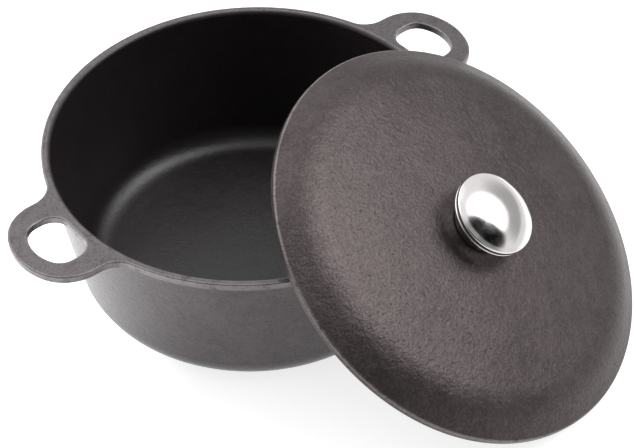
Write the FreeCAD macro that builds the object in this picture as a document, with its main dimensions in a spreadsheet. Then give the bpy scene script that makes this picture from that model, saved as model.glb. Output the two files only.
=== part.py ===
import FreeCAD, Part
import math
import os

import Sketcher

# A round cast iron dutch oven with its lid off and leaning on the rim, in millimetres.
# The pot is one casting with a loop handle on each side at rim height. The lid is a shallow domed casting
# with a hollow stainless knob, held by one screw from below. The origin is the centre of the pot's base,
# +Z is up and +X runs through one handle. The lid's edge stands on the ground beside the pot, and its
# underside leans on the rim.

doc = FreeCAD.newDocument("DutchOven")

# ---------------------------------------------------------------- driving dimensions
DIMENSIONS = {
    # pot casting
    "rimRadius": 130.0,
    "potHeight": 106.0,
    "bandHeight": 5.0,
    "bandStep": 1.7,
    "wallBottomRadius": 112.4,
    "wallThickness": 4.6,
    "floorThickness": 5.5,
    "baseRounding": 24.0,
    "floorRounding": 19.0,
    "lipRounding": 3.2,
    "castEdge": 0.8,
    # loop handles, cast with the rim band and as thick as it is high
    "handleTip": 170.4,
    "handleHalfWidth": 35.0,
    "handleFrontRadius": 44.5,
    "handleCornerRadius": 28.0,
    "handleRootRounding": 16.5,
    "handleInset": 5.1,
    "loopInnerRadius": 131.1,
    "loopTip": 159.4,
    "loopHalfWidth": 19.5,
    "loopFrontRadius": 28.3,
    "loopOuterCorner": 11.6,
    "loopInnerCorner": 11.4,
    # lid casting, with heights measured from the lower face of its locating ring
    "lidRadius": 130.5,
    "ringDepth": 4.0,
    "ringOuterRadius": 122.2,
    "ringInnerRadius": 119.4,
    "lidEdgeThickness": 4.2,
    "lidEdgeRounding": 1.4,
    "shoulderRadius": 112.0,
    "shoulderHeight": 20.5,
    "shoulderRounding": 45.0,
    "lidCrown": 28.0,
    "lidThickness": 4.5,
    "innerShoulderRadius": 109.4,
    "innerShoulderHeight": 16.6,
    "innerSkirtTop": 10.0,
    "knobSeatRadius": 20.0,
    "screwSeatRadius": 11.0,
    "screwHoleRadius": 3.3,
    # stainless knob
    "gasketRadius": 17.2,
    "gasketThickness": 0.8,
    "knobFootRadius": 18.6,
    "knobFootHeight": 1.2,
    "knobNeckTop": 10.8,
    "knobNeckRadius": 24.6,
    "knobNeckCurve": 22.0,
    "knobRimRadius": 26.4,
    "knobRimHeight": 2.0,
    "knobEdge": 0.6,
    "knobWall": 1.5,
    "spigotRadius": 22.9,
    "spigotDepth": 1.8,
    "spigotGap": 0.05,
    "capRadius": 26.5,
    "capSideHeight": 3.2,
    "capInnerSide": 2.4,
    "capDomeHeight": 8.4,
    "capRounding": 1.5,
    "capWall": 1.4,
    "capGroove": 0.7,
    "bushFlats": 12.0,
    "bushLength": 14.0,
    "bushBoreRadius": 3.0,
    # fastening, a metric 6 screw with a pan head
    "screwRadius": 2.95,
    "screwLength": 20.0,
    "screwTip": 0.8,
    "screwHeadRadius": 6.0,
    "screwHeadHeight": 3.9,
    "screwHeadSide": 1.8,
    "screwHeadCurve": 10.0,
    "recessLength": 7.0,
    "recessWidth": 1.5,
    "recessDepth": 2.2,
    "washerHoleRadius": 3.2,
    "flatWasherRadius": 6.2,
    "flatWasherThickness": 1.6,
    "springWasherRadius": 5.9,
    "springWasherThickness": 1.6,
    "springWasherGap": 1.5,
    # how the lid leans on the pot
    "leanTilt": 34.75,
    "leanAzimuth": -65.6,
    "restGap": 0.3,
}

sheet = doc.addObject("Spreadsheet::Sheet", "Dimensions")
for row, (alias, number) in enumerate(DIMENSIONS.items(), start=1):
    sheet.set(f"A{row}", alias)
    sheet.set(f"B{row}", str(number))
    sheet.setAlias(f"B{row}", alias)
doc.recompute()


def value(expression):
    """The number that an expression on the sheet's aliases gives."""
    return float(sheet.evalExpression(expression))


def qualified(expression):
    """The same expression with each alias written as a cell of the sheet."""
    words = expression.replace("(", "( ").replace(")", " )").split()
    return " ".join(f"Dimensions.{word}" if word in DIMENSIONS else word for word in words)


# ---------------------------------------------------------------- sketch and feature helpers
ORIGIN = -1
X_AXIS = -1
Y_AXIS = -2


def bind(sketch, constraint, expression):
    """Adds a dimensional constraint and drives it from the sheet."""
    number = sketch.addConstraint(constraint)
    sketch.setExpression(f"Constraints[{number}]", qualified(expression))


def new_body(name):
    return doc.addObject("PartDesign::Body", name)


def origin_feature(body, role):
    return next(feature for feature in body.Origin.OriginFeatures if feature.Role == role)


def new_sketch(body, name, role, height=None):
    """A sketch on one of the body's own origin planes, raised along that plane's normal."""
    sketch = body.newObject("Sketcher::SketchObject", name)
    sketch.AttachmentSupport = [(origin_feature(body, role), "")]
    sketch.MapMode = "FlatFace"
    if height:
        sketch.setExpression("AttachmentOffset.Base.z", qualified(height))
    doc.recompute()
    return sketch


def hold_along(sketch, kind, axis, geometry, end, expression):
    """Fixes one coordinate of a point; zero puts it on the axis and a leading minus below it."""
    if expression == "0":
        sketch.addConstraint(Sketcher.Constraint("PointOnObject", geometry, end, axis))
    elif expression.startswith("-"):
        size = expression.lstrip("- ")
        bind(sketch, Sketcher.Constraint(kind, geometry, end, ORIGIN, 1, value(size)), size)
    else:
        bind(sketch, Sketcher.Constraint(kind, ORIGIN, 1, geometry, end, value(expression)), expression)


def arc_between(start, end, radius):
    """An arc from start to end that bulges to the left of that direction for a positive radius."""
    chord = end - start
    rise = abs(radius) - math.sqrt(radius * radius - chord.Length ** 2 / 4)
    left = FreeCAD.Vector(-chord.y, chord.x, 0).normalize()
    middle = (start + end) / 2 + left * math.copysign(rise, radius)
    return Part.Arc(start, middle, end)


def crown_radius(start, end):
    """The signed radius of the upward arc between two points whose centre is on the vertical axis."""
    rise = end.y - start.y
    centre = (end.x ** 2 - start.x ** 2 + end.y ** 2 - start.y ** 2) / (2 * rise)
    return math.copysign(math.hypot(start.x, start.y - centre), end.x - start.x)


def profile(sketch, corners, arcs=None):
    """A closed outline through the corners, each a pair of sheet expressions.

    arcs gives, for the side that leaves a corner, its signed radius as an expression, or "crown" for an
    upward arc whose centre lies on the sketch's vertical axis.
    """
    arcs = arcs or {}
    points = [FreeCAD.Vector(value(x), value(y), 0) for x, y in corners]
    sides = []
    for number, start in enumerate(points):
        end = points[(number + 1) % len(points)]
        if number not in arcs:
            geometry = sketch.addGeometry(Part.LineSegment(start, end), False)
        else:
            bend = arcs[number]
            radius = crown_radius(start, end) if bend == "crown" else value(bend)
            geometry = sketch.addGeometry(arc_between(start, end, radius), False)
        first = 1 if (sketch.getPoint(geometry, 1) - start).Length < 1e-4 else 2
        sides.append((geometry, first, 3 - first))
    for number, (geometry, _, last) in enumerate(sides):
        follower, first, _ = sides[(number + 1) % len(sides)]
        sketch.addConstraint(Sketcher.Constraint("Coincident", geometry, last, follower, first))
    for (geometry, first, _), (x, y) in zip(sides, corners):
        hold_along(sketch, "DistanceX", Y_AXIS, geometry, first, x)
        hold_along(sketch, "DistanceY", X_AXIS, geometry, first, y)
    for number, bend in arcs.items():
        geometry = sides[number][0]
        if bend == "crown":
            sketch.addConstraint(Sketcher.Constraint("PointOnObject", geometry, 3, Y_AXIS))
        else:
            size = bend.lstrip("- ")
            bind(sketch, Sketcher.Constraint("Radius", geometry, value(size)), size)
    doc.recompute()
    return sketch


def revolve(body, name, corners, arcs=None):
    """Turns a closed outline, drawn as radius and height, a full turn about the body's Z axis."""
    sketch = profile(new_sketch(body, name + "Profile", "XZ_Plane"), corners, arcs)
    turned = body.newObject("PartDesign::Revolution", name)
    turned.Profile = sketch
    turned.ReferenceAxis = (sketch, ["V_Axis"])
    turned.Angle = 360
    doc.recompute()
    return turned


def extrude(body, kind, name, sketch, length, reverse):
    """A Pad or Pocket of a sheet length."""
    feature = body.newObject(kind, name)
    feature.Profile = sketch
    feature.Reversed = reverse
    feature.setExpression("Length", qualified(length))
    doc.recompute()
    return feature


def edge_names(shape, wanted):
    """Names of the edges of a shape that a test accepts."""
    return [f"Edge{number}" for number, edge in enumerate(shape.Edges, start=1) if wanted(edge)]


def circle_at(radius, height):
    """A test for circles about Z of that radius and height."""
    def wanted(edge):
        if edge.Degenerated or not isinstance(edge.Curve, Part.Circle):
            return False
        curve = edge.Curve
        off_axis = math.hypot(curve.Center.x, curve.Center.y)
        return max(abs(curve.Radius - value(radius)), abs(curve.Center.z - value(height)), off_axis) < 0.01
    return wanted


def upright_at(distance, half_width):
    """A test for upright straight edges at plus or minus that x and y."""
    def wanted(edge):
        if not isinstance(edge.Curve, Part.Line) or abs(edge.tangentAt(edge.FirstParameter).z) < 0.99:
            return False
        place = edge.CenterOfMass
        return max(abs(abs(place.x) - value(distance)), abs(abs(place.y) - value(half_width))) < 0.05
    return wanted


def round_edges(body, name, wanted, radius):
    """A fillet of a sheet radius on the edges of the body's tip that a test accepts."""
    rounding = body.newObject("PartDesign::Fillet", name)
    base = body.Tip if body.Tip is not rounding else rounding.BaseFeature
    rounding.Base = (base, edge_names(base.Shape, wanted))
    rounding.setExpression("Radius", qualified(radius))
    doc.recompute()
    return rounding


# ---------------------------------------------------------------- pot casting
def make_pot():
    """The pot: a turned shell with a rim band, and a loop handle on each side."""
    pot = new_body("pot_body")
    slope = "( rimRadius - bandStep - wallBottomRadius ) / ( potHeight - bandHeight )"
    inner_top = f"wallBottomRadius - wallThickness + potHeight * {slope}"
    inner_bottom = f"wallBottomRadius - wallThickness + floorThickness * {slope}"
    revolve(pot, "PotShell", [
        ("0", "0"),
        ("wallBottomRadius", "0"),
        ("rimRadius - bandStep", "potHeight - bandHeight"),
        ("rimRadius", "potHeight - bandHeight"),
        ("rimRadius", "potHeight"),
        (inner_top, "potHeight"),
        (inner_bottom, "floorThickness"),
        ("0", "floorThickness"),
    ])

    # the handle's side runs straight out to meet the front arc, and so does the loop's
    side_end = "handleTip - handleFrontRadius + sqrt( handleFrontRadius ^ 2 - handleHalfWidth ^ 2 )"
    outline = profile(new_sketch(pot, "HandleOutline", "XY_Plane", "potHeight"), [
        ("rimRadius - handleInset", "- handleHalfWidth"),
        (side_end, "- handleHalfWidth"),
        (side_end, "handleHalfWidth"),
        ("rimRadius - handleInset", "handleHalfWidth"),
    ], {1: "- handleFrontRadius"})
    handle = extrude(pot, "PartDesign::Pad", "Handle", outline, "bandHeight", True)
    loop_start = "sqrt( loopInnerRadius ^ 2 - loopHalfWidth ^ 2 )"
    loop_end = "loopTip - loopFrontRadius + sqrt( loopFrontRadius ^ 2 - loopHalfWidth ^ 2 )"
    opening = profile(new_sketch(pot, "LoopOutline", "XY_Plane", "potHeight"), [
        (loop_start, "- loopHalfWidth"),
        (loop_end, "- loopHalfWidth"),
        (loop_end, "loopHalfWidth"),
        (loop_start, "loopHalfWidth"),
    ], {1: "- loopFrontRadius", 3: "loopInnerRadius"})
    loop = extrude(pot, "PartDesign::Pocket", "Loop", opening, "bandHeight", False)
    both = pot.newObject("PartDesign::Mirrored", "BothHandles")
    both.Originals = [handle, loop]
    both.MirrorPlane = (origin_feature(pot, "YZ_Plane"), [""])
    pot.Tip = both
    doc.recompute()

    root = "sqrt( rimRadius ^ 2 - handleHalfWidth ^ 2 )"
    round_edges(pot, "HandleCorners", upright_at(side_end, "handleHalfWidth"), "handleCornerRadius")
    round_edges(pot, "HandleRoots", upright_at(root, "handleHalfWidth"), "handleRootRounding")
    round_edges(pot, "LoopOuterCorners", upright_at(loop_end, "loopHalfWidth"), "loopOuterCorner")
    round_edges(pot, "LoopInnerCorners", upright_at(loop_start, "loopHalfWidth"), "loopInnerCorner")
    round_edges(pot, "BaseRounding", circle_at("wallBottomRadius", "0"), "baseRounding")
    round_edges(pot, "FloorRounding", circle_at(inner_bottom, "floorThickness"), "floorRounding")
    round_edges(pot, "LipRounding", circle_at(inner_top, "potHeight"), "lipRounding")
    round_edges(pot, "CastEdges", outer_outline, "castEdge")
    return pot


def outer_outline(edge):
    """A test for the edges round the band, the handles and their loops, at their top and underside."""
    level = edge.CenterOfMass.z
    at_face = min(abs(level - value("potHeight")), abs(level - value("potHeight - bandHeight"))) < 0.01
    nearest = min(math.hypot(vertex.X, vertex.Y) for vertex in edge.Vertexes)
    return at_face and nearest > value("rimRadius") - 0.01


# ---------------------------------------------------------------- lid casting
def make_lid():
    """The lid: a crowned plate with a steeper shoulder, a flat edge and a locating ring below it."""
    lid = new_body("lid")
    edge_top = "ringDepth + lidEdgeThickness"
    revolve(lid, "LidPlate", [
        ("screwHoleRadius", "lidCrown - lidThickness"),
        ("screwSeatRadius", "lidCrown - lidThickness"),
        ("innerShoulderRadius", "innerShoulderHeight"),
        ("ringInnerRadius", "innerSkirtTop"),
        ("ringInnerRadius", "0"),
        ("ringOuterRadius", "0"),
        ("ringOuterRadius", "ringDepth"),
        ("lidRadius", "ringDepth"),
        ("lidRadius", edge_top),
        ("shoulderRadius", "shoulderHeight"),
        ("knobSeatRadius", "lidCrown"),
        ("screwHoleRadius", "lidCrown"),
    ], {1: "crown", 9: "crown"})
    round_edges(lid, "Shoulder", circle_at("shoulderRadius", "shoulderHeight"), "shoulderRounding")
    round_edges(lid, "LidEdgeTop", circle_at("lidRadius", edge_top), "lidEdgeRounding")
    round_edges(lid, "LidEdgeUnder", circle_at("lidRadius", "ringDepth"), "castEdge")
    round_edges(lid, "RingEdge", circle_at("ringOuterRadius", "0"), "castEdge")
    return lid


# ---------------------------------------------------------------- knob
FOOT = "lidCrown + gasketThickness"
KNOB_RIM = f"{FOOT} + knobNeckTop + knobRimHeight"


def washer(name, radius, hole, bottom, thickness):
    """A flat ring about Z."""
    disc = doc.addObject("Part::Cylinder", name + "_disc")
    bore = doc.addObject("Part::Cylinder", name + "_bore")
    ring = doc.addObject("Part::Cut", name)
    for cylinder, size in ((disc, radius), (bore, hole)):
        cylinder.setExpression("Radius", qualified(size))
        cylinder.setExpression("Height", qualified(thickness))
        cylinder.setExpression("Placement.Base.z", qualified(bottom))
    ring.Base = disc
    ring.Tool = bore
    doc.recompute()
    return ring


def make_knob_base():
    """The knob's pressed cup: a flat foot, a flared neck and a rim that carries the cap."""
    base = new_body("knob_base")
    revolve(base, "Cup", [
        ("screwHoleRadius", FOOT),
        ("knobFootRadius", FOOT),
        ("knobFootRadius", f"{FOOT} + knobFootHeight"),
        ("knobNeckRadius", f"{FOOT} + knobNeckTop"),
        ("knobRimRadius", f"{FOOT} + knobNeckTop"),
        ("knobRimRadius", KNOB_RIM),
        ("spigotRadius + spigotGap", KNOB_RIM),
        ("spigotRadius + spigotGap", f"{FOOT} + knobNeckTop"),
        ("knobFootRadius - knobWall", f"{FOOT} + knobFootHeight + knobWall"),
        ("knobFootRadius - knobWall", f"{FOOT} + knobWall"),
        ("screwHoleRadius", f"{FOOT} + knobWall"),
    ], {2: "knobNeckCurve", 7: "- knobNeckCurve"})
    round_edges(base, "RimUnder", circle_at("knobRimRadius", f"{FOOT} + knobNeckTop"), "knobEdge")
    round_edges(base, "RimTop", circle_at("knobRimRadius", KNOB_RIM), "knobEdge")
    return base


def make_knob_cap():
    """The knob's pressed cap: a shallow dome with a short side, and a spigot that fits the cup."""
    cap = new_body("knob_cap")
    revolve(cap, "Dome", [
        ("0", f"{KNOB_RIM} + capSideHeight + capDomeHeight - capWall"),
        ("capRadius - capWall", f"{KNOB_RIM} + capInnerSide"),
        ("capRadius - capWall", f"{KNOB_RIM} + capWall"),
        ("spigotRadius - capWall", f"{KNOB_RIM} + capWall"),
        ("spigotRadius - capWall", f"{KNOB_RIM} - spigotDepth"),
        ("spigotRadius", f"{KNOB_RIM} - spigotDepth"),
        ("spigotRadius", KNOB_RIM),
        ("capRadius - capGroove", KNOB_RIM),
        ("capRadius", f"{KNOB_RIM} + capGroove"),
        ("capRadius", f"{KNOB_RIM} + capSideHeight"),
        ("0", f"{KNOB_RIM} + capSideHeight + capDomeHeight"),
    ], {0: "crown", 9: "crown"})
    round_edges(cap, "CapShoulder", circle_at("capRadius", f"{KNOB_RIM} + capSideHeight"), "capRounding")
    return cap


def make_knob_bush():
    """The threaded hexagonal bush that stands on the cup's floor and takes the screw."""
    bar = doc.addObject("Part::Prism", "knob_bush_bar")
    bore = doc.addObject("Part::Cylinder", "knob_bush_bore")
    bush = doc.addObject("Part::Cut", "knob_bush")
    bar.Polygon = 6
    bar.setExpression("Circumradius", qualified("bushFlats / ( 2 * cos( 30 deg ) )"))
    bar.setExpression("Height", qualified("bushLength"))
    bar.setExpression("Placement.Base.z", qualified(f"{FOOT} + knobWall"))
    bore.setExpression("Radius", qualified("bushBoreRadius"))
    bore.setExpression("Height", qualified("bushLength - knobWall"))
    bore.setExpression("Placement.Base.z", qualified(f"{FOOT} + knobWall"))
    bush.Base = bar
    bush.Tool = bore
    doc.recompute()
    return bush


# ---------------------------------------------------------------- fastening under the lid
LID_UNDER = "lidCrown - lidThickness"
SPRING_TOP = f"{LID_UNDER} - flatWasherThickness"
HEAD_TOP = f"{SPRING_TOP} - springWasherThickness"
HEAD_BOTTOM = f"{HEAD_TOP} - screwHeadHeight"


def make_lid_screw():
    """The pan-head screw, head down, with a cross recess."""
    screw = new_body("lid_screw")
    revolve(screw, "ScrewBlank", [
        ("0", HEAD_BOTTOM),
        ("screwHeadRadius", f"{HEAD_TOP} - screwHeadSide"),
        ("screwHeadRadius", HEAD_TOP),
        ("screwRadius", HEAD_TOP),
        ("screwRadius", f"{HEAD_TOP} + screwLength - screwTip"),
        ("screwRadius - screwTip", f"{HEAD_TOP} + screwLength"),
        ("0", f"{HEAD_TOP} + screwLength"),
    ], {0: "screwHeadCurve"})
    slot = profile(new_sketch(screw, "RecessOutline", "XY_Plane", HEAD_BOTTOM), [
        ("- recessLength / 2", "- recessWidth / 2"),
        ("recessLength / 2", "- recessWidth / 2"),
        ("recessLength / 2", "recessWidth / 2"),
        ("- recessLength / 2", "recessWidth / 2"),
    ])
    cut = extrude(screw, "PartDesign::Pocket", "Recess", slot, "recessDepth", True)
    cross = screw.newObject("PartDesign::PolarPattern", "CrossRecess")
    cross.Originals = [cut]
    cross.Axis = (origin_feature(screw, "Z_Axis"), [""])
    cross.Angle = 90
    cross.Occurrences = 2
    screw.Tip = cross
    doc.recompute()
    return screw


def make_spring_washer():
    """The split lock washer, closed flat under the screw head."""
    ring = washer("spring_washer_ring", "springWasherRadius", "washerHoleRadius",
                  HEAD_TOP, "springWasherThickness")
    gap = doc.addObject("Part::Box", "spring_washer_gap")
    split = doc.addObject("Part::Cut", "spring_washer")
    gap.setExpression("Length", qualified("springWasherRadius * 2"))
    gap.setExpression("Width", qualified("springWasherGap"))
    gap.setExpression("Height", qualified("springWasherThickness"))
    gap.setExpression("Placement.Base.z", qualified(HEAD_TOP))
    split.Base = ring
    split.Tool = gap
    doc.recompute()
    return split


# ---------------------------------------------------------------- the leaning lid
def leaning_placement():
    """Where the lid lies: its edge on the ground and its underside restGap clear of the rim.

    In the upright plane of the lean, the lid's edge rounding touches the ground line. The underside is
    part of a sphere, and the rim's rounding lies inside it by the gap.
    """
    tilt = math.radians(value("leanTilt"))
    azimuth = math.radians(value("leanAzimuth"))
    edge_radius = value("lidRadius - castEdge")
    edge_height = value("ringDepth + castEdge")
    height = value("castEdge") + edge_radius * math.sin(tilt) - edge_height * math.cos(tilt)

    seat = FreeCAD.Vector(value("screwSeatRadius"), value(LID_UNDER), 0)
    shoulder = FreeCAD.Vector(value("innerShoulderRadius"), value("innerShoulderHeight"), 0)
    sphere = abs(crown_radius(seat, shoulder))
    centre = seat.y - math.sqrt(sphere ** 2 - seat.x ** 2)
    reach = sphere - value("castEdge + restGap")
    drop = height + centre * math.cos(tilt) - value("potHeight - castEdge")
    across = value("rimRadius - castEdge") - math.sqrt(reach ** 2 - drop ** 2)
    out = across - centre * math.sin(tilt)

    place = FreeCAD.Vector(out * math.cos(azimuth), out * math.sin(azimuth), height)
    hinge = FreeCAD.Vector(-math.sin(azimuth), math.cos(azimuth), 0)
    return FreeCAD.Placement(place, FreeCAD.Rotation(hinge, value("leanTilt")))


pot = make_pot()
lid_pieces = [
    make_lid(),
    washer("knob_gasket", "gasketRadius", "screwHoleRadius", "lidCrown", "gasketThickness"),
    make_knob_base(),
    make_knob_bush(),
    make_knob_cap(),
    washer("flat_washer", "flatWasherRadius", "washerHoleRadius", SPRING_TOP, "flatWasherThickness"),
    make_spring_washer(),
    make_lid_screw(),
]
leaning = leaning_placement()
for piece in lid_pieces:
    piece.Placement = leaning
doc.recompute()

# ---------------------------------------------------------------- checks and export
failed = [item.Name for item in doc.Objects if {"Invalid", "Error"} & set(item.State)]
if failed:
    raise RuntimeError(f"objects left in error: {failed}")

os.makedirs("parts", exist_ok=True)
for piece in [pot] + lid_pieces:
    shape = piece.Shape
    if shape.isNull() or not shape.isValid() or len(shape.Solids) != 1:
        raise RuntimeError(f"{piece.Label} is not one valid solid")
    shape.exportStep(f"parts/{piece.Label}.step")
    print(f"{piece.Label}: {shape.Volume / 1000:.2f} cm3")
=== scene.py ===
import math

import bmesh
import bpy
from mathutils import Matrix, Vector


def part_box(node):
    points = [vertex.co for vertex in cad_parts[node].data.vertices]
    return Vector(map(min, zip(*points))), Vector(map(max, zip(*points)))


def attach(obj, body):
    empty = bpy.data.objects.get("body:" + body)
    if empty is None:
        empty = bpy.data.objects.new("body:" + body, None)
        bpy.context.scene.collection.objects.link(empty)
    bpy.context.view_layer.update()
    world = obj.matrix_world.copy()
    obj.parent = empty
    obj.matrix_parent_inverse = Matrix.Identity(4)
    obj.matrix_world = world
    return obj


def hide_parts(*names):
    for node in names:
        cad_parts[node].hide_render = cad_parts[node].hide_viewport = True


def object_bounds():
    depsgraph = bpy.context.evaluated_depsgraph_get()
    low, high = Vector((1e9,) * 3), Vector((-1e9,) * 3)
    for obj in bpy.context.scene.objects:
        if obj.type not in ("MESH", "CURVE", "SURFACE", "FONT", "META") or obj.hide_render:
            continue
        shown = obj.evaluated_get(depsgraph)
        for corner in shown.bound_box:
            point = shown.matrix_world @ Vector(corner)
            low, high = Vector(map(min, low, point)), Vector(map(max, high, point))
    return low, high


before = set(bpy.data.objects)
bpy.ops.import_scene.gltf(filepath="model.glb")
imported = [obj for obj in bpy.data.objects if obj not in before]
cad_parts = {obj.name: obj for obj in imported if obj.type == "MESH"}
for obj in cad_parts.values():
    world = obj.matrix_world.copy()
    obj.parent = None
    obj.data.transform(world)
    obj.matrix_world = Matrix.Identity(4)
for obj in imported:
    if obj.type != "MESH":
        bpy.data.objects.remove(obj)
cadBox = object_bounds()
mm = 0.001
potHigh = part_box("pot_body")[1]
print("frame loaded:", ", ".join(sorted(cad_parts)))


# outlines: every point is (across, up, wear), in metres, and wear says how bare the edge is; the bare colour
# there is partly real wear and partly a painted highlight

def arcPoints(centre, radius, start, end, steps, wearAndHighlight=0.0):
    points = []
    for step in range(steps + 1):
        angle = start + (end - start) * step / steps
        points.append((centre[0] + radius * math.cos(angle), centre[1] + radius * math.sin(angle), wearAndHighlight))
    return points


wearAndHighlightFade = 0.5 * mm                                      # how far wear and its painted highlight reach past a rounding


def softened(corners, stride=3.0 * mm):
    # corners are (across, up, rounding, wear); long straight runs are divided every stride
    outline = []
    for number, (x, y, rounding, wearAndHighlight) in enumerate(corners):
        here = Vector((x, y))
        if rounding == 0 or number in (0, len(corners) - 1):
            added = [(x, y, wearAndHighlight)]
        else:
            back = (Vector(corners[number - 1][:2]) - here).normalized()
            ahead = (Vector(corners[number + 1][:2]) - here).normalized()
            half = back.angle(ahead) / 2
            middle = here + (back + ahead).normalized() * (rounding / math.sin(half))
            first = here + back * (rounding / math.tan(half)) - middle
            last = here + ahead * (rounding / math.tan(half)) - middle
            start = math.atan2(first.y, first.x)
            turn = (math.atan2(last.y, last.x) - start + math.pi) % (2 * math.pi) - math.pi
            steps = max(4, math.ceil(abs(turn) / math.radians(7)))
            added = arcPoints(middle, rounding, start, start + turn, steps, wearAndHighlight)
        if outline:
            before, after = Vector(outline[-1][:2]), Vector(added[0][:2])
            run = (after - before).length
            pieces = max(1, round(run / stride))
            places = [piece / pieces for piece in range(1, pieces)]
            if run > 2.5 * wearAndHighlightFade:
                fade = wearAndHighlightFade / run
                places = [fade] + [part for part in places if fade < part < 1 - fade] + [1 - fade]
            for part in places:
                place = before.lerp(after, part)
                along = min(outline[-1][2], wearAndHighlight) if run > 2.5 * wearAndHighlightFade else 0.0
                outline.append((place.x, place.y, along))
        outline += added
    return outline


def crownCircle(inner, outer):
    # centre height and radius of the arc through both points with its centre on the axis
    rise = outer[1] - inner[1]
    centre = (outer[0] ** 2 - inner[0] ** 2 + outer[1] ** 2 - inner[1] ** 2) / (2 * rise)
    return centre, math.hypot(inner[0], inner[1] - centre)


def crownPoints(circle, start, end, steps):
    # from one distance off the axis to another along a crown
    centre, radius = circle
    points = []
    for step in range(steps + 1):
        across = start + (end - start) * step / steps
        points.append((across, centre + math.sqrt(radius ** 2 - across ** 2), 0.0, 0.0))
    return points


# a profile turned about Z by Geometry Nodes

def buildLatheTree():
    tree = bpy.data.node_groups.new("latheProfile", "GeometryNodeTree")
    face = tree.interface
    face.new_socket("Geometry", in_out="INPUT", socket_type="NodeSocketGeometry")
    segments = face.new_socket("Segments", in_out="INPUT", socket_type="NodeSocketInt")
    segments.default_value = 180
    finish = face.new_socket("Finish", in_out="INPUT", socket_type="NodeSocketMaterial")
    face.new_socket("Geometry", in_out="OUTPUT", socket_type="NodeSocketGeometry")

    def put(kind, settings=None, sockets=None):
        node = tree.nodes.new(kind)
        for name, setting in (settings or {}).items():
            setattr(node, name, setting)
        for key, given in (sockets or {}).items():
            if isinstance(given, bpy.types.NodeSocket):
                tree.links.new(given, node.inputs[key])
            else:
                node.inputs[key].default_value = given
        return node

    def maths(operation, *terms):
        return put("ShaderNodeMath", {"operation": operation}, dict(enumerate(terms))).outputs[0]

    given = put("NodeGroupInput")
    profile, turns = given.outputs["Geometry"], given.outputs["Segments"]
    rows = put("GeometryNodeAttributeDomainSize", {"component": "MESH"}, {0: profile}).outputs["Point Count"]
    columns = maths("ADD", turns, 1.0)
    sheet = put("GeometryNodeMeshGrid", None, {"Vertices X": rows, "Vertices Y": columns}).outputs["Mesh"]
    index = put("GeometryNodeInputIndex").outputs[0]
    along = maths("FLOOR", maths("DIVIDE", maths("ADD", index, 0.5), columns))
    around = maths("SUBTRACT", index, maths("MULTIPLY", along, columns))
    angle = maths("MULTIPLY", maths("DIVIDE", around, turns), 2 * math.pi)
    place = put("GeometryNodeInputPosition").outputs[0]
    sampled = put("GeometryNodeSampleIndex", {"data_type": "FLOAT_VECTOR", "domain": "POINT"},
                  {"Geometry": profile, "Value": place, "Index": along}).outputs[0]
    turned = put("ShaderNodeVectorRotate", {"rotation_type": "Z_AXIS"},
                 {"Vector": sampled, "Angle": angle}).outputs[0]
    moved = put("GeometryNodeSetPosition", None, {"Geometry": sheet, "Position": turned}).outputs[0]
    bareAndHighlight = put("GeometryNodeInputNamedAttribute", {"data_type": "FLOAT"}, {"Name": "wearAndHighlight"}).outputs[0]
    carried = put("GeometryNodeSampleIndex", {"data_type": "FLOAT", "domain": "POINT"},
                  {"Geometry": profile, "Value": bareAndHighlight, "Index": along}).outputs[0]
    wornAndHighlight = put("GeometryNodeStoreNamedAttribute", {"data_type": "FLOAT", "domain": "POINT"},
               {"Geometry": moved, "Name": "wearAndHighlight", "Value": carried}).outputs[0]
    closed = put("GeometryNodeMergeByDistance", None, {"Geometry": wornAndHighlight, "Distance": 2e-6}).outputs[0]
    smooth = put("GeometryNodeSetShadeSmooth", None, {"Geometry": closed}).outputs[0]
    solid = put("GeometryNodeRealizeInstances", None, {"Geometry": smooth}).outputs[0]
    coated = put("GeometryNodeSetMaterial", None,
                 {"Geometry": solid, "Material": given.outputs["Finish"]}).outputs[0]
    put("NodeGroupOutput", None, {0: coated})
    return tree, segments.identifier, finish.identifier


latheTree, segmentsSocket, finishSocket = buildLatheTree()


def turnedMesh(name, outline, segments, finish):
    profile = bpy.data.meshes.new(name + "_profile")
    profile.from_pydata([(x, 0.0, y) for x, y, wearAndHighlight in outline],
                        [(number, number + 1) for number in range(len(outline) - 1)], [])
    wornAndHighlight = profile.attributes.new("wearAndHighlight", "FLOAT", "POINT")
    wornAndHighlight.data.foreach_set("value", [wearAndHighlight for x, y, wearAndHighlight in outline])
    holder = bpy.data.objects.new(name + "_profile", profile)
    bpy.context.scene.collection.objects.link(holder)
    lathe = holder.modifiers.new("lathe", "NODES")
    lathe.node_group = latheTree
    lathe[segmentsSocket] = segments
    lathe[finishSocket] = finish
    made = bpy.data.meshes.new_from_object(holder.evaluated_get(bpy.context.evaluated_depsgraph_get()))
    bpy.data.objects.remove(holder)
    made.name = name
    return made


def finishMesh(name, meshes, finish, place=None, keepSharp=40):
    # joins meshes into one closed piece whose faces point outwards
    shape = bmesh.new()
    shape.verts.layers.float.new("wearAndHighlight")
    for mesh in meshes:
        shape.from_mesh(mesh)
    bmesh.ops.remove_doubles(shape, verts=shape.verts, dist=3e-6)
    bmesh.ops.dissolve_degenerate(shape, edges=shape.edges, dist=1e-7)
    bmesh.ops.recalc_face_normals(shape, faces=shape.faces)
    if place:
        shape.transform(place)
    for face in shape.faces:
        face.smooth = True
        face.material_index = 0
    for edge in shape.edges:
        edge.smooth = not edge.is_manifold or edge.calc_face_angle() < math.radians(keepSharp)
    mesh = bpy.data.meshes.new(name)
    shape.to_mesh(mesh)
    openEdges = sum(1 for edge in shape.edges if not edge.is_manifold)
    shape.free()
    mesh.materials.clear()
    mesh.materials.append(finish)
    piece = bpy.data.objects.new(name, mesh)
    bpy.context.scene.collection.objects.link(piece)
    weighted = piece.modifiers.new("flatFacesLead", "WEIGHTED_NORMAL")
    weighted.keep_sharp = True
    print(f"{name}: {len(mesh.polygons)} faces, {openEdges} open edges")
    return piece


# shader maths

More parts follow.
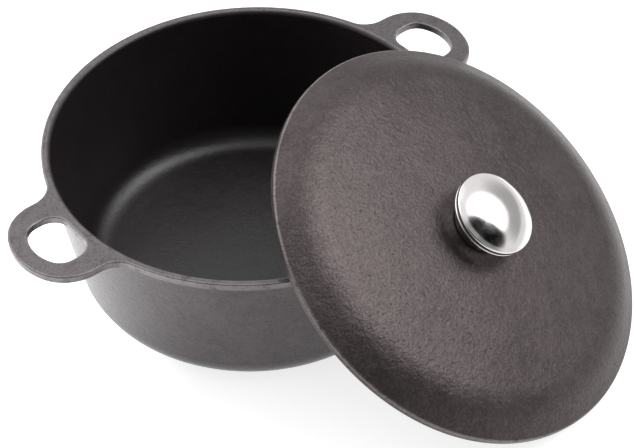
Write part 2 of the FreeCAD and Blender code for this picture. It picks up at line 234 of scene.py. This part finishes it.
class Field:
    # a shader number; sums on it add Math nodes
    def __init__(self, paint, socket):
        self.paint = paint
        self.socket = socket

    def maths(self, operation, first, second):
        return self.paint.add("ShaderNodeMath", {"operation": operation}, {0: first, 1: second})

    def __add__(self, other):
        return self.maths("ADD", self, other)

    def __radd__(self, other):
        return self.maths("ADD", other, self)

    def __sub__(self, other):
        return self.maths("SUBTRACT", self, other)

    def __rsub__(self, other):
        return self.maths("SUBTRACT", other, self)

    def __mul__(self, other):
        return self.maths("MULTIPLY", self, other)

    def __rmul__(self, other):
        return self.maths("MULTIPLY", other, self)

    def __truediv__(self, other):
        return self.maths("DIVIDE", self, other)

    def __rtruediv__(self, other):
        return self.maths("DIVIDE", other, self)


class Paint:
    # a material or world being mixed
    def __init__(self, owner):
        owner.use_nodes = True
        self.tree = owner.node_tree
        self.tree.nodes.clear()

    def add(self, kind, settings=None, sockets=None, output=0):
        node = self.tree.nodes.new(kind)
        for name, setting in (settings or {}).items():
            setattr(node, name, setting)
        for key, given in (sockets or {}).items():
            if isinstance(given, Field):
                self.tree.links.new(given.socket, node.inputs[key])
            else:
                node.inputs[key].default_value = given
        return Field(self, node.outputs[output]) if len(node.outputs) else None

    def noise(self, place, wavelength, detail=2.0, roughness=0.5):
        return self.add("ShaderNodeTexNoise", None,
                        {"Vector": place, "Scale": 1 / wavelength, "Detail": detail, "Roughness": roughness})

    def between(self, value, low, high, toLow=0.0, toHigh=1.0):
        return self.add("ShaderNodeMapRange", {"interpolation_type": "SMOOTHSTEP"},
                        {0: value, 1: low, 2: high, 3: toLow, 4: toHigh})

    def blend(self, factor, first, second):
        return self.add("ShaderNodeMix", {"data_type": "RGBA"}, {0: factor, 6: first, 7: second}, output=2)


def shade(red, green, blue):
    return (red, green, blue, 1.0)


# how the lid leans: tilt and heading in degrees, and the height of its gasket's middle above its ring
lean = {"tilt": 34.75, "heading": -65.6, "gasketMiddle": 28.4 * mm}


def leaningPlace():
    heading = math.radians(lean["heading"])
    hinge = Vector((-math.sin(heading), math.cos(heading), 0.0))
    turn = Matrix.Rotation(math.radians(lean["tilt"]), 4, hinge)
    low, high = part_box("knob_gasket")
    shift = (low + high) / 2 - turn @ Vector((0.0, 0.0, lean["gasketMiddle"]))
    return Matrix.Translation(shift) @ turn


lidPlace = leaningPlace()


def ownPlace(paint, place):
    # object coordinates turned back so that a leaning piece is upright and centred
    back = place.inverted()
    coords = paint.add("ShaderNodeTexCoord", None, None, output=3)
    return paint.add("ShaderNodeMapping", {"vector_type": "POINT"},
                     {"Vector": coords, "Location": back.translation, "Rotation": back.to_euler()})


# seasoned sand-cast iron
ironLook = {
    "patches": 46 * mm, "mottle": 7 * mm, "metal": 0.75,
    "grain": 1.6 * mm, "grainHeight": 0.32 * mm,
    "pebble": 3.6 * mm, "pebbleHeight": 0.30 * mm,
    "swell": 26 * mm, "swellHeight": 0.4 * mm,
    "pits": 2.4 * mm, "pitDepth": 0.08 * mm, "pitColour": shade(0.012, 0.010, 0.010),
    # the two colours for inside the pot are painted shade for its hollow
    "insideShadeDark": shade(0.0100, 0.0078, 0.0084), "insideShadeLight": shade(0.0155, 0.0125, 0.0134),
}


def castIron(name, place, dark, light, bareAndHighlight, roughness, relief, shadedInside=None):
    # dark and light mix in the skin, bare shows where edges are worn and paints a highlight on them, and
    # relief is the strength of the grain
    material = bpy.data.materials.new(name)
    paint = Paint(material)
    here = ownPlace(paint, place)
    patches = paint.noise(here, ironLook["patches"], 4.0, 0.55)
    mottle = paint.noise(here, ironLook["mottle"], 5.0, 0.65)
    grain = paint.noise(here, ironLook["grain"], 3.0, 0.65)
    pebble = paint.noise(here, ironLook["pebble"], 2.0, 0.5)
    swell = paint.noise(here, ironLook["swell"], 1.0, 0.4)
    pits = paint.between(paint.noise(here, ironLook["pits"], 1.0, 0.4), 0.68, 0.75)
    wornAndHighlight = paint.add("ShaderNodeAttribute", {"attribute_name": "wearAndHighlight"}, None, output=2)
    # the bare colour on worn edges is partly real wear and partly a painted highlight
    rubbedAndHighlight = wornAndHighlight * paint.between(0.6 * mottle + 0.4 * grain, 0.26, 0.56)
    tone = paint.between(0.25 * patches + 0.25 * mottle + 0.5 * grain, 0.38, 0.62)
    colour = paint.blend(tone, dark, light)
    colour = paint.blend(rubbedAndHighlight, colour, bareAndHighlight)
    colour = paint.blend(pits * 0.35, colour, ironLook["pitColour"])
    gloss = roughness + 0.10 * (patches - 0.5) + 0.12 * (mottle - 0.5) + 0.10 * pits
    metal = ironLook["metal"]
    if shadedInside:
        insideShade = shadedInside(paint, here)
        # painted shade: the pot's hollow takes a far darker colour than its outside
        insideShadeColour = paint.blend(tone, ironLook["insideShadeDark"], ironLook["insideShadeLight"])
        colour = paint.blend(insideShade, colour, insideShadeColour)
        gloss = gloss + 0.07 * insideShade
        metal = ironLook["metal"] * (1 - insideShade)
    height = (ironLook["grainHeight"] * grain + ironLook["pebbleHeight"] * pebble
              + ironLook["swellHeight"] * swell - ironLook["pitDepth"] * pits)
    bump = paint.add("ShaderNodeBump", None, {"Height": height, "Strength": relief, "Distance": 1.0})
    skin = paint.add("ShaderNodeBsdfPrincipled", None, {
        "Base Color": colour, "Roughness": gloss, "Metallic": metal, "Normal": bump,
        "Specular IOR Level": 0.4})
    paint.add("ShaderNodeOutputMaterial", None, {"Surface": skin})
    return material


# polished and plain stainless steel
def steel(name, place, tint, roughness, lines, linesHeight):
    # lines is how far apart the fine turning marks are
    material = bpy.data.materials.new(name)
    paint = Paint(material)
    here = ownPlace(paint, place)
    flat = paint.add("ShaderNodeVectorMath", {"operation": "MULTIPLY"}, {0: here, 1: (1.0, 1.0, 0.0)})
    across = paint.add("ShaderNodeVectorMath", {"operation": "LENGTH"}, {0: flat}, output=1)
    rings = paint.add("ShaderNodeTexNoise", {"noise_dimensions": "1D"},
                      {"W": across, "Scale": 1 / lines, "Detail": 3.0, "Roughness": 0.7})
    smears = paint.noise(here, 9 * mm, 4.0, 0.6)
    nicks = paint.noise(here, 0.6 * mm, 2.0, 0.5)
    gloss = roughness + 0.07 * paint.between(smears, 0.45, 0.7) + 0.03 * rings
    duller = shade(*[0.88 * part for part in tint[:3]])
    colour = paint.blend(paint.between(smears, 0.35, 0.7) * 0.5, tint, duller)
    height = linesHeight * rings + 0.3 * linesHeight * nicks
    bump = paint.add("ShaderNodeBump", None, {"Height": height, "Strength": 0.5, "Distance": 1.0})
    skin = paint.add("ShaderNodeBsdfPrincipled", None, {
        "Base Color": colour, "Roughness": gloss, "Metallic": 1.0, "Normal": bump})
    paint.add("ShaderNodeOutputMaterial", None, {"Surface": skin})
    return material


def gasketRubber():
    material = bpy.data.materials.new("gasketRubber")
    paint = Paint(material)
    here = ownPlace(paint, lidPlace)
    specks = paint.noise(here, 0.7 * mm, 3.0, 0.6)
    dust = paint.noise(here, 5 * mm, 3.0, 0.6)
    colour = paint.blend(paint.between(dust, 0.4, 0.7), shade(0.012, 0.012, 0.012), shade(0.03, 0.029, 0.028))
    bump = paint.add("ShaderNodeBump", None, {"Height": 0.03 * mm * specks, "Strength": 0.6, "Distance": 1.0})
    skin = paint.add("ShaderNodeBsdfPrincipled", None, {
        "Base Color": colour, "Roughness": 0.7 + 0.2 * (specks - 0.5), "Normal": bump})
    paint.add("ShaderNodeOutputMaterial", None, {"Surface": skin})
    return material


upright = Matrix.Identity(4)
lidIron = castIron("seasonedLidIron", lidPlace, shade(0.042, 0.0335, 0.0338), shade(0.074, 0.060, 0.0605),
                   shade(0.25, 0.228, 0.22), 0.38, 0.9)
polishedSteel = steel("polishedSteel", lidPlace, shade(0.70, 0.675, 0.67), 0.10, 0.35 * mm, 0.0008 * mm)
plainSteel = steel("plainSteel", lidPlace, shade(0.55, 0.54, 0.52), 0.27, 0.25 * mm, 0.01 * mm)
print("finishes mixed")


# the pot: turned walls inside and out, and a flat band with its two loop handles
pot = {
    "segments": 288,
    "rim": potHigh.y, "top": potHigh.z, "tip": potHigh.x,
    "band": 5.0 * mm, "bandStep": 1.7 * mm, "edge": 0.8 * mm,
    "wallFoot": 112.4 * mm, "wall": 4.6 * mm, "floor": 5.5 * mm,
    "footRounding": 24 * mm, "floorRounding": 15.5 * mm, "lipRounding": 3.2 * mm,
    # the flat top of rim and handles carries a little bare colour, partly wear and partly a painted highlight
    "topSeam": 127.6 * mm, "underSeam": 129.0 * mm, "faceWearAndHighlight": 0.22,
    "loopHalf": 35.0 * mm, "loopFront": 44.5 * mm, "loopCorner": 28 * mm, "loopRoot": 16.5 * mm,
    "holeStart": 131.1 * mm, "holeTip": 159.4 * mm, "holeHalf": 19.5 * mm,
    "holeFront": 28.3 * mm, "holeOuter": 11.6 * mm, "holeInner": 11.4 * mm,
}


def wallAt(height):
    # outside of the wall, which leans out evenly from foot to band
    slope = (pot["rim"] - pot["bandStep"] - pot["wallFoot"]) / (pot["top"] - pot["band"])
    return pot["wallFoot"] + slope * height


def insideOutline():
    return softened([
        (pot["topSeam"], pot["top"], 0, pot["faceWearAndHighlight"]),
        (wallAt(pot["top"]) - pot["wall"], pot["top"], pot["lipRounding"], 0.55),
        (wallAt(pot["floor"]) - pot["wall"], pot["floor"], pot["floorRounding"], 0.0),
        (0.0, pot["floor"], 0, 0.0),
    ])


def outsideOutline():
    return softened([
        (0.0, 0.0, 0, 0.0),
        (pot["wallFoot"], 0.0, pot["footRounding"], 0.0),
        (wallAt(pot["top"] - pot["band"]), pot["top"] - pot["band"], 0.5 * mm, 0.0),
        (pot["underSeam"], pot["top"] - pot["band"], 0, 0.0),
    ])


def mirrored(quarter):
    # a quarter outline from +X round to +Y, carried round all four quarters
    half = quarter + [(-x, y) for x, y in reversed(quarter[:-1])]
    return half + [(x, -y) for x, y in reversed(half[1:-1])]


def bandOutline(inset):
    # rim circle, concave roots and the two rounded handle ends, moved in by inset
    front = (pot["tip"] - pot["loopFront"], 0.0)
    cornerUp = pot["loopHalf"] - pot["loopCorner"]
    cornerOut = front[0] + math.sqrt((pot["loopFront"] - pot["loopCorner"]) ** 2 - cornerUp ** 2)
    rootUp = pot["loopHalf"] + pot["loopRoot"]
    rootOut = math.sqrt((pot["rim"] + pot["loopRoot"]) ** 2 - rootUp ** 2)
    cornerTurn = math.atan2(cornerUp, cornerOut - front[0])
    rootTurn = math.atan2(rootUp, rootOut)
    quarter = arcPoints(front, pot["loopFront"] - inset, 0, cornerTurn, 12)
    quarter += arcPoints((cornerOut, cornerUp), pot["loopCorner"] - inset, cornerTurn, math.pi / 2, 14)[1:]
    quarter += arcPoints((rootOut, rootUp), pot["loopRoot"] + inset, 1.5 * math.pi, math.pi + rootTurn, 14)
    quarter += arcPoints((0.0, 0.0), pot["rim"] - inset, rootTurn, math.pi / 2, 60)[1:]
    return mirrored([(x, y) for x, y, wearAndHighlight in quarter])


def holeOutline(inset, side):
    # the finger hole of one handle, moved into the metal by inset
    front = (pot["holeTip"] - pot["holeFront"], 0.0)
    outerUp = pot["holeHalf"] - pot["holeOuter"]
    outerOut = front[0] + math.sqrt((pot["holeFront"] - pot["holeOuter"]) ** 2 - outerUp ** 2)
    innerUp = pot["holeHalf"] - pot["holeInner"]
    innerOut = math.sqrt((pot["holeStart"] + pot["holeInner"]) ** 2 - innerUp ** 2)
    outerTurn = math.atan2(outerUp, outerOut - front[0])
    innerTurn = math.atan2(innerUp, innerOut)
    half = arcPoints(front, pot["holeFront"] + inset, 0, outerTurn, 8)
    half += arcPoints((outerOut, outerUp), pot["holeOuter"] + inset, outerTurn, math.pi / 2, 12)[1:]
    half += arcPoints((innerOut, innerUp), pot["holeInner"] + inset, math.pi / 2, math.pi + innerTurn, 12)
    half += arcPoints((0.0, 0.0), pot["holeStart"] - inset, innerTurn, 0, 6)[1:]
    half = [(x, y) for x, y, wearAndHighlight in half]
    return [(side * x, y) for x, y in half + [(x, -y) for x, y in reversed(half[1:-1])]]


def bandMesh():
    shape = bmesh.new()
    wornAndHighlight = shape.verts.layers.float.new("wearAndHighlight")
    edge, top, under = pot["edge"], pot["top"], pot["top"] - pot["band"]
    levels = [(edge + 0.7 * mm, top, pot["faceWearAndHighlight"])]   # inset, height and wear with its painted highlight down the rounded side
    for step in range(5):
        turn = math.pi / 2 * step / 4
        levels.append((edge * (1 - math.sin(turn)), top - edge * (1 - math.cos(turn)), 0.8))
    for step in range(4, -1, -1):
        turn = math.pi / 2 * step / 4
        levels.append((edge * (1 - math.sin(turn)), under + edge * (1 - math.cos(turn)), 0.6))
    topLoops, underLoops = [], []
    for outline in (bandOutline, lambda inset: holeOutline(inset, 1), lambda inset: holeOutline(inset, -1)):
        rings = []
        for inset, height, wearAndHighlight in levels:
            ring = [shape.verts.new((x, y, height)) for x, y in outline(inset)]
            for vertex in ring:
                vertex[wornAndHighlight] = wearAndHighlight
            rings.append(ring)
        for upper, lower in zip(rings, rings[1:]):
            for number, vertex in enumerate(upper):
                after = (number + 1) % len(upper)
                shape.faces.new((vertex, upper[after], lower[after], lower[number]))
        topLoops.append(rings[0])
        underLoops.append(rings[-1])
    for radius, height, loops in ((pot["topSeam"], top, topLoops), (pot["underSeam"], under, underLoops)):
        seam = []
        for number in range(pot["segments"]):
            angle = 2 * math.pi * number / pot["segments"]
            seam.append(shape.verts.new((radius * math.cos(angle), radius * math.sin(angle), height)))
            seam[-1][wornAndHighlight] = pot["faceWearAndHighlight"]
        borders = []
        for loop in loops + [seam]:
            for number, vertex in enumerate(loop):
                pair = (vertex, loop[(number + 1) % len(loop)])
                borders.append(shape.edges.get(pair) or shape.edges.new(pair))
        bmesh.ops.triangle_fill(shape, use_beauty=True, use_dissolve=False, edges=borders)
    mesh = bpy.data.meshes.new("band")
    shape.to_mesh(mesh)
    shape.free()
    return mesh


def potShadedInside(paint, here):
    # one on the inside of the wall, where painted shade darkens the pot's hollow, nothing outside it, from
    # distance off the axis and height
    height = paint.add("ShaderNodeSeparateXYZ", None, {"Vector": here}, output=2)
    flat = paint.add("ShaderNodeVectorMath", {"operation": "MULTIPLY"}, {0: here, 1: (1.0, 1.0, 0.0)})
    across = paint.add("ShaderNodeVectorMath", {"operation": "LENGTH"}, {0: flat}, output=1)
    slope = (wallAt(pot["top"]) - wallAt(0.0)) / pot["top"]
    depth = wallAt(0.0) - pot["wall"] / 2 + slope * height - across
    return paint.between(depth, -0.4 * mm, 1.6 * mm) * paint.between(height, 2.0 * mm, 3.5 * mm)


potIron = castIron("seasonedPotIron", upright, shade(0.059, 0.0515, 0.055), shade(0.093, 0.082, 0.0875),
                   shade(0.19, 0.176, 0.174), 0.30, 0.5, potShadedInside)

potPiece = finishMesh("pot_casting", [
    turnedMesh("potShadedInside", insideOutline(), pot["segments"], potIron),
    turnedMesh("potOutside", outsideOutline(), pot["segments"], potIron),
    bandMesh(),
], potIron)


# the lid, upright on its ring until it is leaned
lid = {
    "segments": 288,
    "edge": 130.5 * mm, "edgeThick": 4.2 * mm, "edgeRounding": 1.4 * mm, "edgeUnder": 0.8 * mm,
    "ringDepth": 4.0 * mm, "ringOut": 122.2 * mm, "ringIn": 119.4 * mm,
    "shoulder": (112.0 * mm, 20.5 * mm), "shoulderRounding": 45 * mm,
    "crown": 28.0 * mm, "seat": 20.0 * mm, "thick": 4.5 * mm,
    "innerShoulder": (109.4 * mm, 16.6 * mm), "skirtTop": 10.0 * mm, "screwSeat": 11.0 * mm,
    "hole": 3.3 * mm,
}


def shoulderArc():
    # the rounding tangent to the sloping brim and to the crown, listed from the brim inwards
    crown = crownCircle((lid["seat"], lid["crown"]), lid["shoulder"])
    corner = Vector(lid["shoulder"])
    brim = (Vector((lid["edge"], lid["ringDepth"] + lid["edgeThick"])) - corner).normalized()
    outward = Vector((-brim.y, brim.x))
    radius = lid["shoulderRounding"]
    offset = corner - outward * radius - Vector((0.0, crown[0]))
    reach = offset.dot(brim)
    along = -reach - math.sqrt(reach ** 2 - offset.length_squared + (crown[1] - radius) ** 2)
    centre = corner + brim * along - outward * radius
    start = math.atan2(outward.y, outward.x)
    end = math.atan2(centre.y - crown[0], centre.x)
    return arcPoints(centre, radius, start, end, 12), crown


def lidOutline():
    shoulder, crown = shoulderArc()
    under = crownCircle((lid["screwSeat"], lid["crown"] - lid["thick"]), lid["innerShoulder"])
    edgeTop = lid["ringDepth"] + lid["edgeThick"]
    corners = [(lid["hole"], lid["crown"] - lid["thick"], 0, 0.3)]
    corners += crownPoints(under, lid["screwSeat"], lid["innerShoulder"][0], 24)[:-1]
    corners += [
        (*lid["innerShoulder"], 8 * mm, 0.0),
        (lid["ringIn"], lid["skirtTop"], 2.0 * mm, 0.0),
        (lid["ringIn"], 0.0, 0.6 * mm, 0.7),
        (lid["ringOut"], 0.0, 0.8 * mm, 0.7),
        (lid["ringOut"], lid["ringDepth"], 0.5 * mm, 0.0),
        (lid["edge"], lid["ringDepth"], lid["edgeUnder"], 0.1),
        (lid["edge"], edgeTop, lid["edgeRounding"], 0.5),
    ]
    corners += [(x, y, 0, 0.0) for x, y, wearAndHighlight in shoulder]
    corners += crownPoints(crown, shoulder[-1][0], lid["seat"], 24)[1:]
    corners += [(lid["hole"], lid["crown"], 0, 0.0), (lid["hole"], lid["crown"] - lid["thick"], 0, 0.3)]
    return softened(corners)


lidPiece = finishMesh("lid_casting", [turnedMesh("lidShape", lidOutline(), lid["segments"], lidIron)],
                      lidIron, lidPlace)


# the knob: a pressed cup with a polished cap
knob = {
    "segments": 144, "wall": 1.5 * mm,
    "foot": 28.8 * mm, "footRadius": 18.6 * mm, "footHeight": 1.2 * mm,
    "neckTop": 10.8 * mm, "neckRadius": 24.6 * mm, "neckCurve": 22.0 * mm,
    "rimRadius": 26.4 * mm, "rimHeight": 2.0 * mm, "rimRounding": 0.6 * mm,
    "spigot": 22.9 * mm, "spigotGap": 0.05 * mm, "spigotDepth": 1.8 * mm,
    "capRadius": 26.5 * mm, "capSide": 3.2 * mm, "capInnerSide": 2.4 * mm, "capDome": 8.4 * mm,
    "capRounding": 1.5 * mm, "capWall": 1.4 * mm, "groove": 0.7 * mm, "hole": 3.3 * mm,
}


def flare(start, end):
    # the neck's hollow curve between two points, bulging towards the axis, without its ends
    first, last = Vector(start), Vector(end)
    if last.y < first.y:
        return flare(end, start)[::-1]
    chord = last - first
    sideways = Vector((-chord.y, chord.x)).normalized()
    rise = math.sqrt(knob["neckCurve"] ** 2 - chord.length_squared / 4)
    centre = (first + last) / 2 - sideways * rise
    begin = math.atan2(first.y - centre.y, first.x - centre.x)
    finish = math.atan2(last.y - centre.y, last.x - centre.x)
    return [(x, y, 0, 0.0) for x, y, wearAndHighlight in arcPoints(centre, knob["neckCurve"], begin, finish, 8)[1:-1]]


def cupOutline():
    foot, top = knob["foot"], knob["foot"] + knob["neckTop"]
    rimTop = top + knob["rimHeight"]
    bore = knob["spigot"] + knob["spigotGap"]
    innerFoot = knob["footRadius"] - knob["wall"]
    outerStart = (knob["footRadius"], foot + knob["footHeight"])
    outerEnd = (knob["neckRadius"], top)
    innerStart = (bore, top)
    innerEnd = (innerFoot, foot + knob["footHeight"] + knob["wall"])
    corners = [(knob["hole"], foot, 0, 0.0), (knob["footRadius"], foot, 0.3 * mm, 0.0), (*outerStart, 0, 0.0)]
    corners += flare(outerStart, outerEnd)
    corners += [
        (*outerEnd, 0.4 * mm, 0.0),
        (knob["rimRadius"], top, knob["rimRounding"], 0.0),
        (knob["rimRadius"], rimTop, knob["rimRounding"], 0.0),
        (bore, rimTop, 0, 0.0), (*innerStart, 0, 0.0)]
    corners += flare(innerStart, innerEnd)
    corners += [
        (*innerEnd, 0, 0.0), (innerFoot, foot + knob["wall"], 0, 0.0),
        (knob["hole"], foot + knob["wall"], 0, 0.0), (knob["hole"], foot, 0, 0.0)]
    return softened(corners, 1.5 * mm)


def capOutline():
    seat = knob["foot"] + knob["neckTop"] + knob["rimHeight"]
    side, dome = knob["capSide"], knob["capDome"]
    inner = knob["capRadius"] - knob["capWall"]
    innerTop = seat + side + dome - knob["capWall"]
    outer = crownCircle((0.0, seat + side + dome), (knob["capRadius"], seat + side))
    under = crownCircle((0.0, innerTop), (inner, seat + knob["capInnerSide"]))
    corners = crownPoints(under, 0.0, inner, 16)
    corners += [
        (inner, seat + knob["capWall"], 0, 0.0),
        (knob["spigot"] - knob["capWall"], seat + knob["capWall"], 0, 0.0),
        (knob["spigot"] - knob["capWall"], seat - knob["spigotDepth"], 0, 0.0),
        (knob["spigot"], seat - knob["spigotDepth"], 0, 0.0),
        (knob["spigot"], seat, 0, 0.0),
        (knob["capRadius"] - knob["groove"], seat, 0.15 * mm, 0.0),
        (knob["capRadius"], seat + knob["groove"], 0.4 * mm, 0.0),
        (knob["capRadius"], seat + side, knob["capRounding"], 0.0),
    ]
    corners += crownPoints(outer, knob["capRadius"] - 2.6 * mm, 0.0, 22)
    return softened(corners, 1.5 * mm)


cupShape = turnedMesh("cupShape", cupOutline(), knob["segments"], polishedSteel)
cupPiece = finishMesh("knob_cup", [cupShape], polishedSteel, lidPlace)
capShape = turnedMesh("capShape", capOutline(), knob["segments"], polishedSteel)
capPiece = finishMesh("knob_cap_shell", [capShape], polishedSteel, lidPlace)

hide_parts("pot_body")
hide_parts("lid")
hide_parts("knob_base")
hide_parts("knob_cap")
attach(potPiece, "pot")
for piece in (lidPiece, cupPiece, capPiece):
    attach(piece, "lid")

# the fastening keeps its CAD shapes
nodeFinish = {
    "knob_bush": plainSteel, "lid_screw": plainSteel, "flat_washer": plainSteel,
    "spring_washer": plainSteel, "knob_gasket": gasketRubber(),
}
for node, finish in nodeFinish.items():
    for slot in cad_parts[node].material_slots:
        slot.material = finish
print("pieces placed")


# the view: heading and height in degrees, roll in radians, distance and aim in metres
view = {"heading": -38.28, "height": 44.36, "roll": -0.021, "distance": 1.2145, "lens": 107.5,
        "aim": Vector((0.0212, -0.0400, 0.045))}


# a pale sheet that glows near the pot, more so on the camera's left; distances in metres
ground = {
    "reach": 6.0, "gap": 0.1 * mm,
    "dark": shade(0.46, 0.46, 0.46), "light": shade(0.50, 0.50, 0.50),
    "glow": shade(0.78, 0.78, 0.78), "leftGlow": shade(1.6, 1.6, 1.62), "farGlow": shade(0.15, 0.15, 0.15),
    "leftFrom": 0.03, "leftTo": 0.16, "farFrom": 0.45, "farTo": 0.8,
}


def paleFloor():
    mesh = bpy.data.meshes.new("floor")
    reach, height = ground["reach"], cadBox[0].z - ground["gap"]
    corners = [(-reach, -reach), (reach, -reach), (reach, reach), (-reach, reach)]
    mesh.from_pydata([(x, y, height) for x, y in corners], [], [(0, 1, 2, 3)])
    floor = bpy.data.objects.new("floor", mesh)
    bpy.context.scene.collection.objects.link(floor)
    material = bpy.data.materials.new("palePaper")
    paint = Paint(material)
    coords = paint.add("ShaderNodeTexCoord", None, None, output=3)
    fibre = paint.noise(coords, 3 * mm, 3.0, 0.6)
    colour = paint.blend(fibre, ground["dark"], ground["light"])
    distance = paint.add("ShaderNodeVectorMath", {"operation": "LENGTH"}, {0: coords}, output=1)
    turn = math.radians(view["heading"])
    sideways = paint.add("ShaderNodeVectorMath", {"operation": "DOT_PRODUCT"},
                         {0: coords, 1: (-math.cos(turn), -math.sin(turn), 0.0)}, output=1)
    left = paint.between(sideways, ground["leftFrom"], ground["leftTo"])
    far = paint.between(distance, ground["farFrom"], ground["farTo"])
    glow = paint.blend(far, paint.blend(left, ground["glow"], ground["leftGlow"]), ground["farGlow"])
    skin = paint.add("ShaderNodeBsdfPrincipled", None, {
        "Base Color": colour, "Roughness": 0.9, "Emission Color": glow, "Emission Strength": 1.0})
    paint.add("ShaderNodeOutputMaterial", None, {"Surface": skin})
    mesh.materials.append(material)


def placeCamera():
    turn, rise = math.radians(view["heading"]), math.radians(view["height"])
    back = Vector((math.sin(turn) * math.cos(rise), -math.cos(turn) * math.cos(rise), math.sin(rise)))
    lens = bpy.data.cameras.new("camera")
    lens.lens = view["lens"]
    lens.sensor_width = 36.0
    holder = bpy.data.objects.new("camera", lens)
    level = (-back).to_track_quat("-Z", "Y").to_matrix().to_4x4()
    holder.matrix_world = (Matrix.Translation(view["aim"] + back * view["distance"]) @ level
                           @ Matrix.Rotation(view["roll"], 4, "Z"))
    bpy.context.scene.collection.objects.link(holder)
    bpy.context.scene.camera = holder


# each lobe is soft light and each gap a darker part of the room: aim as right, away and up from the
# camera's side, then brightness or depth, then the angles in degrees where it is full and where it ends
studio = {
    "horizon": 1.0, "zenith": 1.1,
    "lobes": [
        ((0.62, 0.04, 0.78), 5.9, 8, 34.5),
        ((-0.60, 0.45, 0.66), 1.6, 10, 45),
    ],
    "gaps": [
        ((0.30, -0.32, 0.90), 0.92, 7, 15),
        ((0.43, -0.38, 0.82), 0.96, 9, 17),
        ((0.61, -0.44, 0.66), 0.98, 12, 20),
        ((0.71, -0.46, 0.53), 0.96, 11, 19),
        ((0.80, -0.45, 0.41), 0.95, 9, 18),
        ((-0.15, -0.93, 0.33), 0.90, 24, 55),
        ((0.88, 0.44, 0.22), 0.50, 16, 44),
    ],
}


def studioWorld():
    world = bpy.data.worlds.new("studio")
    bpy.context.scene.world = world
    paint = Paint(world)
    heading = paint.add("ShaderNodeTexCoord", None, None, output=0)
    turn = math.radians(view["heading"])
    across = Vector((math.cos(turn), math.sin(turn), 0.0))
    away = Vector((-math.sin(turn), math.cos(turn), 0.0))

    def lobe(aim, inner, outer):
        centre = (across * aim[0] + away * aim[1] + Vector((0.0, 0.0, aim[2]))).normalized()
        facing = paint.add("ShaderNodeVectorMath", {"operation": "DOT_PRODUCT"},
                           {0: heading, 1: centre}, output=1)
        return paint.between(facing, math.cos(math.radians(outer)), math.cos(math.radians(inner)))

    climb = paint.add("ShaderNodeVectorMath", {"operation": "DOT_PRODUCT"},
                      {0: heading, 1: (0.0, 0.0, 1.0)}, output=1)
    strength = paint.between(climb, 0.0, 0.9, studio["horizon"], studio["zenith"])
    for aim, brightness, inner, outer in studio["lobes"]:
        strength = strength + brightness * lobe(aim, inner, outer)
    for aim, depth, inner, outer in studio["gaps"]:
        strength = strength * (1 - depth * lobe(aim, inner, outer))
    sky = paint.add("ShaderNodeBackground", None, {"Color": shade(1.0, 1.0, 1.0), "Strength": strength})
    paint.add("ShaderNodeOutputWorld", None, {"Surface": sky})


paleFloor()
placeCamera()
studioWorld()
bpy.context.scene.view_settings.view_transform = "Standard"
print("studio set")
